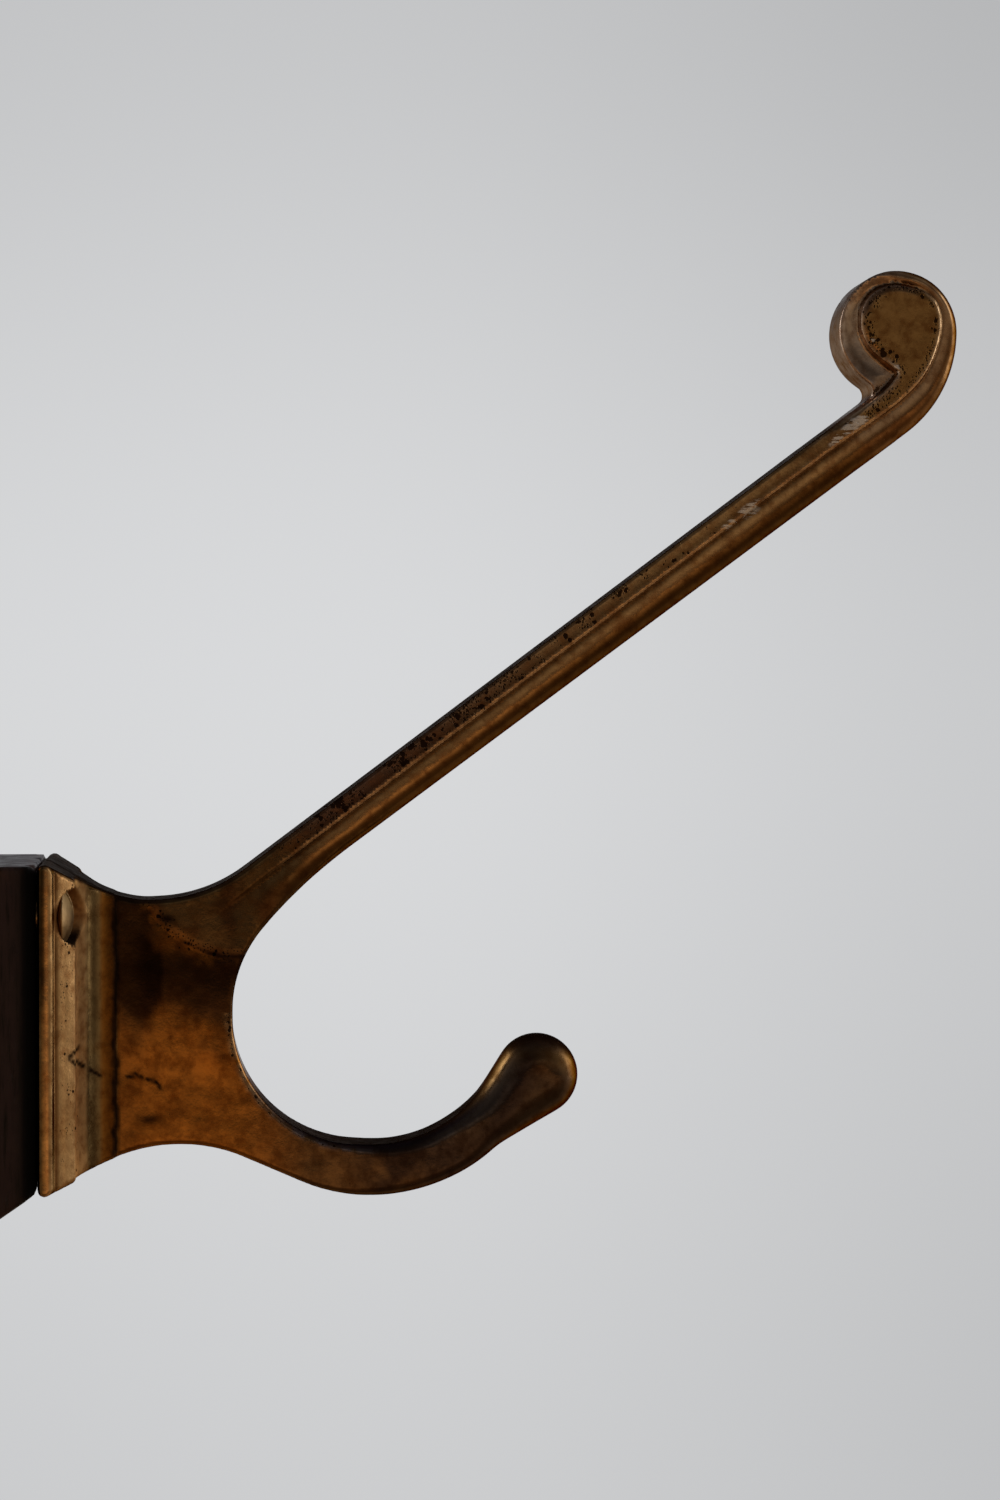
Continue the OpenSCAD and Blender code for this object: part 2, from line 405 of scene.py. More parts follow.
def dense_hook(xs, ys, zs):
    X, Z = np.meshgrid(xs, zs, indexing="ij")
    flds = [sample(F, X, Z).astype(np.float32) for F in (D2, H2, R2)]
    out = np.full((len(xs), len(ys), len(zs)), 2.0, np.float32)
    foot_n = int(np.searchsorted(xs, 12.0))
    near = np.abs(ys) < 5.0
    a = slice(0, foot_n)
    out[a] = f_hook(xs[a, None, None].astype(np.float32), ys[None, :, None].astype(np.float32), zs[None, None, :].astype(np.float32),
                    [F[a, None, :] for F in flds])
    b = slice(foot_n, None)
    d2, hh, rr = [F[b, None, :] for F in flds]
    out[b][:, near] = rounded_and(d2, np.abs(ys[near])[None, :, None].astype(np.float32) - hh, rr)
    return out


ny = int(15.0 / HH)
P, Q, G = mesh_sdf(f_hook, (-1.0, -(ny + 0.5) * HH, -22.0), (111.3, (ny + 0.5) * HH, 91.3), HH, dense=dense_hook)
P[:, 0] = np.clip(P[:, 0], 0.0, side_x)
hook = to_object("hook_casting_look", P, Q, G, (BLOCK_D, 0, 0))

x, y, z = P.T
ay = np.abs(y)
d2v, dfv, rootv, sv, nv = [sample(F, x, z) for F in (D2, DF, root, S, N)]
thv = np.degrees(np.arctan2(z - eye[1], x - eye[0])) % 360
w_arm = smooth(sv, -8, 4) * smooth(nv, -14, -11)
w_scr = smooth(sv, 78, 84) * smooth(nv, -14, -11)
w_j = smooth(x, 34, 42) * (1 - smooth(nv, -14, -11))
phi = np.degrees(np.arctan2(z - 1.2, x - 38.5))
n1, n2, n3 = vnoise(P, 0.16), vnoise(P + 40, 0.45), vnoise(P + 90, 1.3)

TAN = np.array([0.54, 0.325, 0.145])
OLIVE = np.array([0.34, 0.215, 0.09])
AMBER = np.array([0.50, 0.215, 0.045])
BROWN = np.array([0.22, 0.115, 0.045])
DARK = np.array([0.075, 0.037, 0.020])
GREY = np.array([0.42, 0.29, 0.20])


def mix(a, b, t):
    t = np.clip(t, 0, 1)[:, None]
    return a * (1 - t) + b * t


tone = np.tile(BROWN, (len(P), 1))
# web: dark above, warm and lighter below, blotches of both
warm = smooth(z + 9 * (n1 - 0.5) + 3 * (n2 - 0.5) + 2.5 * smooth(x, 16, 22), 3.5, -3)
warm = np.maximum(warm, 0.75 * np.exp(-(((x - 15) / 3.2) ** 2 + ((z - 9.5) / 1.4) ** 2)))
warm = np.maximum(warm, 0.8 * np.exp(-(((x - 14.5) / 2.6) ** 2 + ((z - 0.5) / 2.0) ** 2)))
sand = np.exp(-((rootv - 0.9) / 0.9) ** 2) * smooth(x, 11, 13) * (1 - smooth(x, 19, 23)) * (1 - w_arm)
warm = np.maximum(warm, 0.75 * sand * smooth(n3, 0.25, 0.55))
tone = mix(mix(tone, DARK * 0.9, 0.8 + 0.6 * (n2 - 0.5)), AMBER, warm * (0.9 + 0.4 * (n3 - 0.5)))
smudge = np.exp(-(((x - 12.8) / 1.6) ** 2 + ((z + 11.4) / 0.6) ** 2)) + 0.95 * smooth(np.exp(-(((x - 11.8 - 1.5 * (n2 - 0.5)) / 2.9) ** 2 + ((z - 5.5) / 5.6) ** 2)) + 0.25 * (n2 - 0.5), 0.3, 0.5)
tone = mix(tone, DARK * 0.5, np.clip(0.95 * smudge, 0, 0.97))
tone *= (1 - 0.5 * smooth(z + 3 * (n2 - 0.5), 1.5, 5) * smooth(rootv, -0.2, 0.8) * (1 - w_arm) * (1 - w_j))[:, None]
# the lower hook: dark along its middle, amber below, tan at the bulb
tone = mix(tone, mix(np.tile(BROWN, (len(P), 1)), AMBER, 0.55 * smooth(phi, -125, -95) * (1 - smooth(phi, -80, -60)) + 0.25 * n1), w_j)
tone = mix(tone, DARK, w_j * 0.75 * np.exp(-((phi + 84) / 26) ** 2) * smooth(n2 + 0.05 * (z + 19), 0.3, 0.6))
# painted highlight along the lower hook's ridge, and painted shade on the outer facet beside it
ridge_highlight = np.exp(-((np.hypot(x - 38.5, z - 1.2) - 17.6) / 1.1) ** 2) * smooth(phi, -72, -50)
tone = mix(tone, np.array([0.24, 0.13, 0.045]), w_j * smooth(phi, -60, -40) * 0.8)
tone = mix(tone, np.array([0.40, 0.24, 0.095]), w_j * ridge_highlight * 0.8)
tone = mix(tone, DARK, w_j * 0.7 * np.exp(-((np.hypot(x - 38.5, z - 1.2) - 20.6) / 1.4) ** 2) * smooth(phi, -60, -35) * (1 - smooth(phi, -16, -8)))
# arm: dark pitted upper band, tan-brown rounded lower band, each with painted highlight and shade bands across it; the
# upper band also gets a bluish painted reflection
arm_up = mix(np.tile(DARK * 1.6, (len(P), 1)), np.array([0.33, 0.18, 0.065]), smooth(sv + 14 * (n1 - 0.5), 8, 62))
arm_lo = mix(np.tile(np.array([0.40, 0.235, 0.10]), (len(P), 1)), np.array([0.27, 0.15, 0.055]), smooth(dfv + 0.9 * (n1 - 0.5), 1.2, 2.7))
arm_up_shading = np.interp(dfv, [-2.6, -1.1, -0.8, -0.45, -0.2], [1.9, 2.1, 1.25, 1.0, 1.3])
arm_lo_shading = np.interp(dfv, [0.0, 0.35, 0.6, 0.9, 1.1, 1.4, 1.65, 1.9, 2.3, 3.0], [1.6, 1.35, 0.85, 1.4, 2.0, 2.15, 1.6, 0.8, 0.55, 0.6])
arm_lo_shading = 1 + (arm_lo_shading - 1) * (0.55 + 0.45 * smooth(sv, 10, 50))
arm_up = np.clip(arm_up * arm_up_shading[:, None] * np.array([0.95, 1.05, 1.25]), 0, 0.95)
arm_lo = np.clip(arm_lo * arm_lo_shading[:, None], 0, 0.95)
arm_t = mix(arm_up, arm_lo, smooth(dfv, -0.1, 0.3))
tone = mix(tone, arm_t, w_arm)
# arm root inside the casting crease
tone = mix(tone, np.array([0.21, 0.135, 0.06]), (1 - smooth(rootv + 1.2 * (n3 - 0.5), -1.6, 0.2)) * (1 - w_arm) * smooth(n2, 0.25, 0.6) * 0.8)
# scroll
disc_t = np.array([0.44, 0.245, 0.085])
th2 = (thv + 90) % 360 - 90
left = smooth(th2, 60, 130) * smooth(nv, -2.0, -0.5)
tone = mix(tone, disc_t, w_scr * (1 - smooth(dfv, -0.6, 0.0)))
tone = mix(tone, mix(np.tile(np.array([0.63, 0.40, 0.22]), (len(P), 1)), BROWN, 0.8 * smooth(dfv + 0.5 * (n2 - 0.5), 1.1, 1.7)), w_scr * (1 - left) * smooth(dfv, 0.0, 0.3))
# painted light on the disc's rounded left edge and the cove beside it (bluish light grey), and a painted dark band near
# the rim
tone = mix(tone, GREY * np.array([1.6, 1.8, 2.0]), w_scr * left * smooth(dfv, -0.9, 0.0) * (0.85 + 0.5 * (n2 - 0.5)))
tone = mix(tone, GREY * 0.75, w_scr * left * 0.8 * np.exp(-((dfv - 1.7) / 0.5) ** 2) * (1 - smooth(d2v, -0.5, -0.1)))
outer = w_scr * left * (1 - smooth(ay, 3.3, 3.7)) * smooth(d2v, -0.9, -0.3)
# foot: bands parallel to the block: tarnish tones with painted highlight and shade bands, darkest against the block
# (painted shade)
on_foot = smooth(ay, 4.0, 4.3) * (1 - smooth(x, 8.9, 9.4))
xb = x + 0.25 * (n2 - 0.5)
foot_shade_bands = [(-1, DARK * 0.5), (0.15, DARK * 0.6), (0.3, AMBER * 0.42), (0.6, OLIVE * 0.42), (0.9, OLIVE * 1.2), (1.15, TAN * 1.2),
          (1.35, TAN * 1.75), (1.5, TAN * 1.5), (1.7, TAN * 0.5), (1.95, TAN * 0.45), (2.15, BROWN), (2.35, BROWN * 1.35), (2.55, TAN * 0.7), (2.8, TAN * 0.72),
          (3.15, TAN * 0.98), (3.5, TAN * 0.78), (4.3, TAN * 0.72), (4.45, TAN * 1.85), (4.75, TAN * 1.15), (5.4, TAN * 0.95),
          (5.7, OLIVE * 0.5), (6.05, OLIVE * 0.24), (6.5, OLIVE * 0.3), (7.0, OLIVE * 0.85), (7.35, AMBER * 0.75), (8.0, AMBER * 0.42),
          (8.5, AMBER * 0.34), (8.8, DARK * 0.8), (9.6, DARK * 0.7)]
bx = np.array([b[0] for b in foot_shade_bands])
bc = np.array([b[1] for b in foot_shade_bands])
foot_shaded_tone = np.stack([np.interp(xb, bx, bc[:, i]) for i in range(3)], 1)
# painted shade against the block, stronger higher up
foot_shaded_tone = foot_shaded_tone * (1 - 0.72 * (1 - smooth(x, 0.9, 1.2)) * smooth(z, -2, 7))[:, None]
tone = mix(tone, foot_shaded_tone, on_foot)
dull = on_foot * smooth(x, 4.2, 4.5) * (1 - smooth(x, 5.3, 5.9))
tone = mix(tone, BROWN * 0.7, (1 - smooth(x, 10.0, 13)) * (1 - on_foot) * smooth(ay, 3.0, 3.6) * smooth(z, 18, 8) * 0.3)
# dark lines in the creases, and painted shade along the step under the arm's raised band
crease_and_shade = np.zeros(len(P))
crease_and_shade = np.maximum(crease_and_shade, 0.60 * np.exp(-((dfv - 0.36) / 0.17) ** 2) * smooth(sv, -15, -3) * smooth(nv, -14, -11) * (1 - 0.4 * w_scr) * (1 - 0.9 * w_scr * left))
crease_and_shade = np.maximum(crease_and_shade, 0.95 * np.exp(-((x - 8.95 + 0.5 * (n3 - 0.5) + 0.9 * (n2 - 0.5)) / (0.10 + 0.42 * n3)) ** 2) * smooth(ay, 3.5, 3.8) * (1 - smooth(ay, 4.6, 5)) * smooth(z, -16.5, -15))
crease_and_shade = np.maximum(crease_and_shade, 0.7 * np.exp(-((rootv - 0.25 + 0.5 * (n3 - 0.5)) / 0.25) ** 2) * (1 - w_arm) * smooth(x, 10.5, 13) * smooth(n2, 0.38, 0.55))
cut_r = np.full(len(P), 99.0)
for sy, sz, _ in SCREWS:
    cut_r = np.minimum(cut_r, np.hypot(y - sy, z - sz))
recess = (1 - smooth(cut_r, HEAD_R + 0.1, HEAD_R + 0.35)) * (x > 2.2)
tone = mix(tone, TAN * 1.1, 0.9 * recess)
dull = np.maximum(dull, recess)
hollow = np.exp(-(((x - 15.0) / 0.9) ** 2 + ((z - 12.4) / 0.5) ** 2))
crease_and_shade = np.maximum(crease_and_shade, hollow)


def chain(pts, width):
    d = np.full(len(P), 99.0)
    for a, b in zip(pts[:-1], pts[1:]):
        a, b = np.array(a, float), np.array(b, float)
        e = b - a
        t = np.clip(((x - a[0]) * e[0] + (z - a[1]) * e[1]) / (e @ e), 0, 1)
        d = np.minimum(d, np.hypot(x - a[0] - t * e[0], z - a[1] - t * e[1]))
    return np.exp(-(d / width) ** 2)


cracks = np.maximum(chain([[4.7, -2.3], [3.7, -3.0], [4.9, -4.4], [7.2, -6.1]], 0.17),
                    chain([[10.2, -6.4], [11.4, -6.0], [12.2, -6.6], [13.6, -6.9], [14.2, -7.8]], 0.18))
crease_and_shade = np.maximum(crease_and_shade, 1.0 * cracks * smooth(n3, 0.22, 0.42) * (y < 0))      # on the near side only
# darkens the creases and cracks, and lays painted shade on the step line and on up-facing walls
tone = mix(tone, DARK * 0.6, crease_and_shade * (0.75 + 0.5 * (n3 - 0.5)))
# bright rubbed band along the bowl's inner edge; a painted highlight along the outer corner (step edge) of the arm's
# raised band
inner = np.exp(-((d2v + 0.50) / 0.46) ** 2) * smooth(ay, 3.0, 3.7)
bowl = np.hypot(x - 38.5, z - 1.2)
rub = inner * (1 - smooth(np.abs(bowl - 15.8), 0.8, 1.6)) * (1 - smooth(phi, -120, -60)) * (1 - w_arm)
tone = mix(tone, np.array([0.48, 0.34, 0.2]), 0.8 * rub * smooth(n3, 0.3, 0.6))
tone = mix(tone, np.array([0.98, 0.72, 0.46]), 0.95 * np.exp(-((dfv + 0.06) / 0.15) ** 2) * w_arm * smooth(n3, 0.1, 0.4) * (1 - w_scr * left))
# walls that face up get painted shade (dark), walls that face down a warm painted reflection (amber)
# painted highlight along the left edge of the scroll's disc
disc_edge_highlight = w_scr * np.exp(-((dfv + 0.02) / 0.17) ** 2) * smooth(th2, 128, 150) * (1 - smooth(th2, 205, 225)) * smooth(ay, 2.9, 3.2)
tone = mix(tone, np.array([0.95, 0.90, 0.90]), 0.9 * disc_edge_highlight)
up_facing_shade = smooth(G[:, 2], 0.30, 0.75) * (1 - 0.65 * w_scr)
tone = mix(tone, DARK * np.array([0.8, 1.0, 1.4]), 0.9 * up_facing_shade)
tone = mix(tone, AMBER * 0.9, 0.45 * smooth(-G[:, 2], 0.5, 0.9) * (1 - outer))
# the scroll's outer left wall: painted light where it does not face up, painted shade where it faces up
tone = mix(tone, np.array([0.72, 0.58, 0.49]), 0.75 * outer * (1 - 0.8 * smooth(G[:, 2], -0.1, 0.45)))
tone = mix(tone, np.array([0.24, 0.16, 0.14]), 0.7 * outer * smooth(G[:, 2], 0.0, 0.5))
# painted shade: a purple-brown band along the rolled top edge of the scroll's disc
tone = mix(tone, np.array([0.22, 0.135, 0.11]), 0.7 * w_scr * np.exp(-((dfv + 0.5) / 0.5) ** 2) * smooth(th2, 50, 80) * (1 - smooth(th2, 150, 180)))
# the lower hook's flank is darker and bluer than the web, and its bulb lighter
w_flank = smooth(x, 22, 33) * (1 - smooth(nv, -14, -11)) * smooth(ay, 2.2, 3.2)
tone *= 1 + w_flank[:, None] * ((1 - smooth(phi, -24, -10))[:, None] * np.array([-0.55, -0.38, 0.4]) + smooth(phi, -19, -9)[:, None] * np.array([1.3, 1.5, 1.7]))
tone = np.clip(tone, 0, 1)
tone *= (0.86 + 0.28 * n3)[:, None]

pits = 0.10 + 0.9 * w_arm * (1 - smooth(dfv, -0.5, 0.1)) * (1 - smooth(sv, 45, 75)) * smooth(n2, 0.35, 0.6)
pits = np.maximum(pits, 0.55 * on_foot * (1 - smooth(x, 4.2, 5.2)) * smooth(x, 2.4, 3.0) * smooth(n2, 0.3, 0.7))
pits = np.maximum(pits, 1.0 * w_scr * (np.exp(-((dfv + 0.6) / 0.5) ** 2) * smooth(n2, 0.2, 0.45) + 0.75 * smooth(th2, 100, 140) * np.exp(-((dfv + 1.4) / 0.8) ** 2)) * (1 - 0.7 * smooth(dfv, -0.5, -0.1) * smooth(th2, 60, 110)))
pits = np.maximum(pits, 0.6 * (1 - smooth(np.abs(rootv), 0.4, 1.6)) * (1 - w_arm))
pits = np.maximum(pits, 0.7 * rub)


def blob(cx, cz, la, lb):
    a = (x - cx) * ca + (z - cz) * sa
    b = -(x - cx) * sa + (z - cz) * ca
    return np.exp(-(a / la) ** 2 - (b / lb) ** 2)


# pale scuffs along the arm and disc, and a painted glint at the disc's inner corner
scuff_and_glint = np.maximum.reduce([blob(84.6, 60.9, 1.8, 0.7), blob(82.2, 59.2, 1.3, 0.4), blob(97.4, 71.4, 2.0, 0.6), blob(95.6, 69.8, 1.5, 0.35),
                           0.8 * blob(99.6, 81.6, 0.3, 0.25), 1.0 * blob(102.5, 78.15, 0.4, 0.35)]) * smooth(ay, 3.3, 3.8) * (1 - 0.7 * (y > 0))
# the painted shade of up-facing walls also goes into the dark crease channel
crease_and_shade = np.maximum(crease_and_shade, 0.55 * up_facing_shade)
attribute(hook, "tone", tone)
attribute(hook, "dull", np.clip(dull, 0, 1)[:, None] * np.ones(3))
# channels: pits; pale scuffs with a painted glint; dark creases with painted shade
attribute(hook, "wear_and_shade", np.stack([np.clip(pits, 0, 1), np.clip(scuff_and_glint, 0, 1), np.clip(crease_and_shade, 0, 1)], 1))

# ---------------------------------------------------------------- the block
side = np.array([[0, 19.2], [18, 19.2], [18, -18.6], [17.2, -19.1], [4, -28.1], [0, -28.1]])


def f_block(x, y, z):
    X, Z = np.broadcast_arrays(x, z)
    shp = X.shape
    if X.ndim == 3:
        d = poly_dist(X[:, 0, :], Z[:, 0, :], side)[:, None, :]
        rr = (0.30 + 0.35 * vnoise(np.stack([X[:, 0, :].ravel() * 0.3, Z[:, 0, :].ravel(), Z[:, 0, :].ravel() * 0 + 3], 1), 0.22).reshape(d[:, 0].shape))[:, None, :]
    else:
        d = poly_dist(X, Z, side)
        rr = 0.30 + 0.35 * vnoise(np.stack([X.ravel() * 0.3, Z.ravel(), Z.ravel() * 0 + 3], 1), 0.22).reshape(shp)
    ay = np.abs(y)
    d = d + 0.0 * ay
    c = (x - 17.0 + ay - 14.0) * 0.7071 - 0.0          # the front vertical chamfers
    plan = -smin(-(ay - 14.0), -c, 0.25)
    f = rounded_and(d, plan, rr)
    # knocks along the top front arris
    for kx, ky, kz, kr in ((18.1, -11.5, 19.5, 1.0), (18.2, -13.4, 19.4, 0.9), (18.4, 3.0, 19.7, 1.1), (17.6, 14.4, 8.0, 0.8), (18.3, -5.0, 19.6, 0.8)):
        f = -smin(-f, np.sqrt((x - kx) ** 2 + (y - ky) ** 2 + (z - kz) ** 2) - kr, 0.5)
    for sy, sz, _ in SCREWS:
        f = -smin(-f, np.sqrt((y - sy) ** 2 + (z - sz) ** 2) - SCREW_R - 0.2, 0.15)
    return f


HB = 0.55
Pb, Qb, Gb = mesh_sdf(f_block, (-0.7, -14.9, -28.9), (18.8, 14.9, 20.1), HB)
Pb[:, 0] = np.clip(Pb[:, 0], 0, 18)
block = to_object("backing_block_look", Pb, Qb, Gb, (0, 0, 0))
xb_, yb_, zb_ = Pb.T
db = np.abs(poly_dist(xb_, zb_, side))
pb = 14.0 - np.abs(yb_)
cb_ = np.abs((xb_ - 17.0 + np.abs(yb_) - 14.0) * 0.7071)
front = np.exp(-(np.maximum(18 - xb_, 0) / 0.8) ** 2)
edge = np.maximum(np.exp(-((db + pb) / 0.9) ** 2), np.exp(-((19.2 - zb_ + (18 - xb_)) / 1.1) ** 2))
edge = np.maximum(edge, 0.8 * (zb_ < -19) * np.exp(-(db / 0.4) ** 2))
wear_b = np.clip(edge * smooth(vnoise(Pb, 0.5), 0.35, 0.6), 0, 1)
# third channel: the front vertical chamfers, painted black as shade beside the flange
attribute(block, "wear_and_shade", np.stack([wear_b, np.clip((18 - xb_) * 0, 0, 1), np.clip(np.exp(-(cb_ / 0.7) ** 2), 0, 1)], 1))


# ---------------------------------------------------------------- the screws
LEN = BLOCK_D + HEAD_X           # rim to wall plane
END = LEN + 22.0                 # rim to tip


def screw_sdf(turn):
    ct, st = math.cos(math.radians(turn)), math.sin(math.radians(turn))

    def f(x, y, z):
        # x along the axis, 0 at the head's rim, tip at -END
        rho = np.sqrt(y ** 2 + z ** 2)
        ang = np.arctan2(z, y)
        dome = np.sqrt((x - DOME_H + DOME_R) ** 2 + rho ** 2) - DOME_R
        head = np.maximum(np.maximum(dome, (rho - HEAD_R - x) * 0.7071), rho - HEAD_R + 0.02)
        head = np.maximum(head, -x - 2.0)
        shank = np.maximum(rho - SCREW_R + 0.0 * x, np.maximum(x + 1.0, -x - LEN))
        ph = (x / 1.4 - ang / (2 * np.pi)) % 1.0
        crest = np.clip(1 - np.abs(ph - 0.5) * 3.2, 0, 1)
        taper = np.clip((x + END - 0.1) / 6.0, 0.02, 1)
        run = np.clip((0.6 - LEN - x) / 2.0, 0, 1)
        rr = (1.2 + (SCREW_R - 1.2) * (1 - run)) * taper ** 0.8 + 0.54 * crest * run * np.clip((x + END - 0.3) / 3.5, 0, 1)
        thread = np.maximum((rho - rr) * 0.72, np.maximum(x + LEN - 0.8, 0.1 - x - END))
        f = smin(smin(head, shank, 0.2), thread, 0.1)
        # the driver slot, slightly burred
        v = y * ct + z * st
        slot = np.maximum(np.abs(v) - 0.45, -x - 0.45)
        return -smin(-f, slot, 0.12)
    return f


screws = []
for (sy, sz, turn), node in zip(SCREWS, ("screw_upper", "screw_lower")):
    hs = 0.21
    f = screw_sdf(turn)
    Ps, Qs, Gs = mesh_sdf(f, (-END - 0.7, -4.4, -4.4), (DOME_H + 0.7, 4.4, 4.4), hs, eps=0.08)
    Ps[:, 0] = np.clip(Ps[:, 0], -END, DOME_H)
    ob = to_object(node + "_look", Ps, Qs, Gs, (BLOCK_D + HEAD_X, sy, sz))
    rho = np.hypot(Ps[:, 1], Ps[:, 2])
    v = np.abs(Ps[:, 1] * math.cos(math.radians(turn)) + Ps[:, 2] * math.sin(math.radians(turn)))
    grime = (1 - smooth(v, 0.38, 0.5)) * smooth(Ps[:, 0], -1.0, -0.5) * (rho < HEAD_R - 0.1) * smooth(np.abs(Gs[:, 1] * math.cos(math.radians(turn)) + Gs[:, 2] * math.sin(math.radians(turn))) + (Ps[:, 0] < 0.1), 0.5, 0.9)
    attribute(ob, "wear_and_shade", np.stack([grime, smooth(Ps[:, 0], -0.5, 0.1) * (1 - grime), grime * 0], 1))
    screws.append(ob)


# ---------------------------------------------------------------- materials
class Tree:
    def __init__(self, name):
        self.mat = bpy.data.materials.new(name)
        self.mat.use_nodes = True
        self.t = self.mat.node_tree
        self.t.nodes.clear()
        self.out = self.t.nodes.new("ShaderNodeOutputMaterial")
        self.bsdf = self.t.nodes.new("ShaderNodeBsdfPrincipled")
        self.link(self.bsdf.outputs[0], self.out.inputs[0])
        self.co = self.t.nodes.new("ShaderNodeTexCoord").outputs["Object"]

    def link(self, a, b):
        self.t.links.new(a, b)

    def set(self, socket, v):
        if hasattr(v, "is_output") or isinstance(v, bpy.types.NodeSocket):
            self.link(v, socket)
        elif isinstance(v, (tuple, list, np.ndarray)):
            socket.default_value = (*v, 1.0) if len(v) == 3 and len(socket.default_value) == 4 else tuple(v)
        else:
            socket.default_value = v

    def math(self, op, a, b=0.0, c=0.0, clamp=False):
        n = self.t.nodes.new("ShaderNodeMath")
        n.operation = op
        n.use_clamp = clamp
        self.set(n.inputs[0], a)
        self.set(n.inputs[1], b)
        self.set(n.inputs[2], c)
        return n.outputs[0]

    def range(self, v, a, b, lo=0.0, hi=1.0, smoothstep=True):
        n = self.t.nodes.new("ShaderNodeMapRange")
        n.interpolation_type = "SMOOTHSTEP" if smoothstep else "LINEAR"
        self.set(n.inputs["Value"], v)
        n.inputs["From Min"].default_value = a
        n.inputs["From Max"].default_value = b
        n.inputs["To Min"].default_value = lo
        n.inputs["To Max"].default_value = hi
        return n.outputs[0]

    def mix(self, fac, a, b, mode="MIX"):
        n = self.t.nodes.new("ShaderNodeMix")
        n.data_type = "RGBA"
        n.blend_type = mode
        self.set(n.inputs[0], fac)
        self.set(n.inputs[6], a)
        self.set(n.inputs[7], b)
        return n.outputs[2]

    def stretch(self, scale, rot=(0, 0, 0)):
        n = self.t.nodes.new("ShaderNodeMapping")
        n.inputs["Scale"].default_value = scale
        n.inputs["Rotation"].default_value = rot
        self.link(self.co, n.inputs["Vector"])
        return n.outputs[0]

    def noise(self, scale, detail=3.0, rough=0.5, vec=None, distortion=0.0):
        n = self.t.nodes.new("ShaderNodeTexNoise")
        self.link(vec or self.co, n.inputs["Vector"])
        n.inputs["Scale"].default_value = scale
        n.inputs["Detail"].default_value = detail
        n.inputs["Roughness"].default_value = rough
        n.inputs["Distortion"].default_value = distortion
        return n.outputs["Fac"]

    def voronoi(self, scale, feature="F1", vec=None):
        n = self.t.nodes.new("ShaderNodeTexVoronoi")
        n.feature = feature
        self.link(vec or self.co, n.inputs["Vector"])
        n.inputs["Scale"].default_value = scale
        return n.outputs["Distance"]

    def attr(self, name):
        n = self.t.nodes.new("ShaderNodeAttribute")
        n.attribute_name = name
        return n.outputs["Color"]

    def split(self, c):
        n = self.t.nodes.new("ShaderNodeSeparateColor")
        self.link(c, n.inputs[0])
        return n.outputs[0], n.outputs[1], n.outputs[2]

    def bump(self, height, distance, strength=1.0, normal=None):
        n = self.t.nodes.new("ShaderNodeBump")
        self.link(height, n.inputs["Height"])
        n.inputs["Distance"].default_value = distance
        n.inputs["Strength"].default_value = strength
        if normal is not None:
            self.link(normal, n.inputs["Normal"])
        return n.outputs[0]


